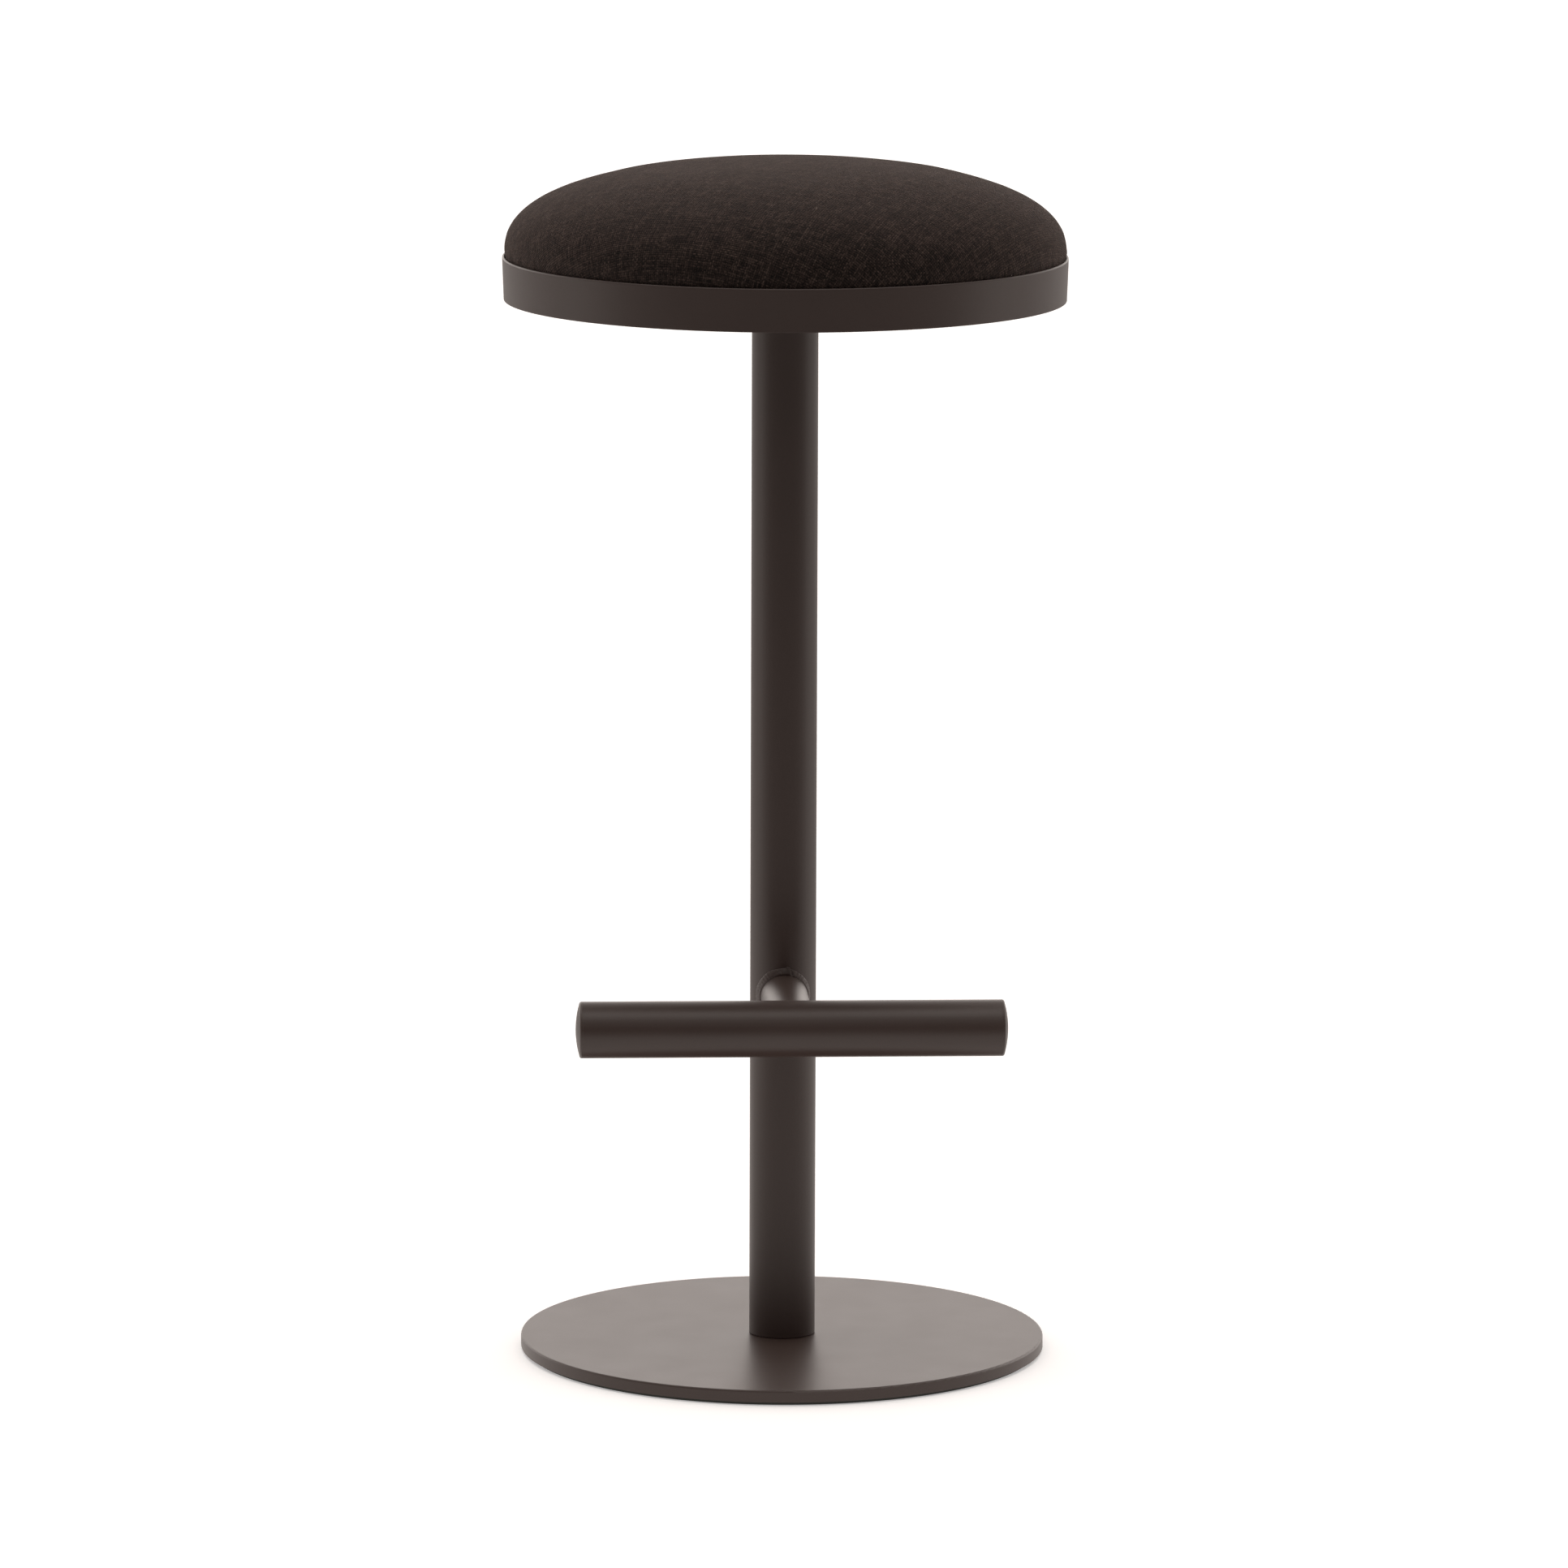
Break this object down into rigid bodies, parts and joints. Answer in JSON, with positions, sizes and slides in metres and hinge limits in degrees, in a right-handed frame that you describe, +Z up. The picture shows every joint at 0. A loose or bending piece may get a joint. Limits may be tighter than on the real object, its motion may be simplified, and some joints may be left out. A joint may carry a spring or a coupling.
{
  "type": "bar stool with footrest",
  "caption": "Round-seated swivel bar stool: upholstered dome cushion in a steel tray on a straight column, with a one-sided round footrest bar and a flat disc base.",
  "frame": {"origin": "centre of the round base, on the floor", "axes": "+Z up along the column, -Y towards the side that carries the footrest bar, +X along the footrest bar"},
  "size_m": [0.382, 0.382, 0.817],
  "materials": {
    "powder_coated_steel": "fine satin powder coat",
    "glide_rubber": "matt moulded",
    "bare_steel": "turned",
    "zinc_steel": "bright zinc plate",
    "black_zinc_steel": "black zinc plate",
    "spring_steel": "phosphated",
    "acetal": "machined",
    "plywood": "sawn, unfinished",
    "foam": "open-cell cut foam",
    "upholstery": "fine woven"
  },
  "bodies": {
    "stand": {"base_plate": "powder_coated_steel", "base_glide_ring": "glide_rubber", "column_tube": "powder_coated_steel", "column_foot_plug": "bare_steel", "column_bolt": "zinc_steel", "column_dowel": "bare_steel", "footrest_stub": "powder_coated_steel", "footrest_bar": "powder_coated_steel", "footrest_cap_left": "powder_coated_steel", "footrest_cap_right": "powder_coated_steel", "stub_weld_column": "powder_coated_steel", "stub_weld_bar": "powder_coated_steel", "swivel_housing": "powder_coated_steel", "swivel_bush_upper": "acetal", "swivel_bush_lower": "acetal", "thrust_washer": "acetal"},
    "seat": {"swivel_spindle": "bare_steel", "spindle_washer": "zinc_steel", "spindle_circlip": "spring_steel", "swivel_plate": "powder_coated_steel", "seat_screws": "black_zinc_steel", "seat_screw_washers": "black_zinc_steel", "seat_band": "powder_coated_steel", "seat_pan": "powder_coated_steel", "seat_board": "plywood", "seat_tee_nuts": "zinc_steel", "seat_foam": "foam", "seat_cover": "upholstery", "cover_staples": "zinc_steel"}
  },
  "joints": [
    {"name": "seat_swivel", "type": "hinge", "parent": "stand", "child": "seat", "pos_m": [0, 0, 0.72], "axis": [0, 0, 1], "continuous": true}
  ]
}
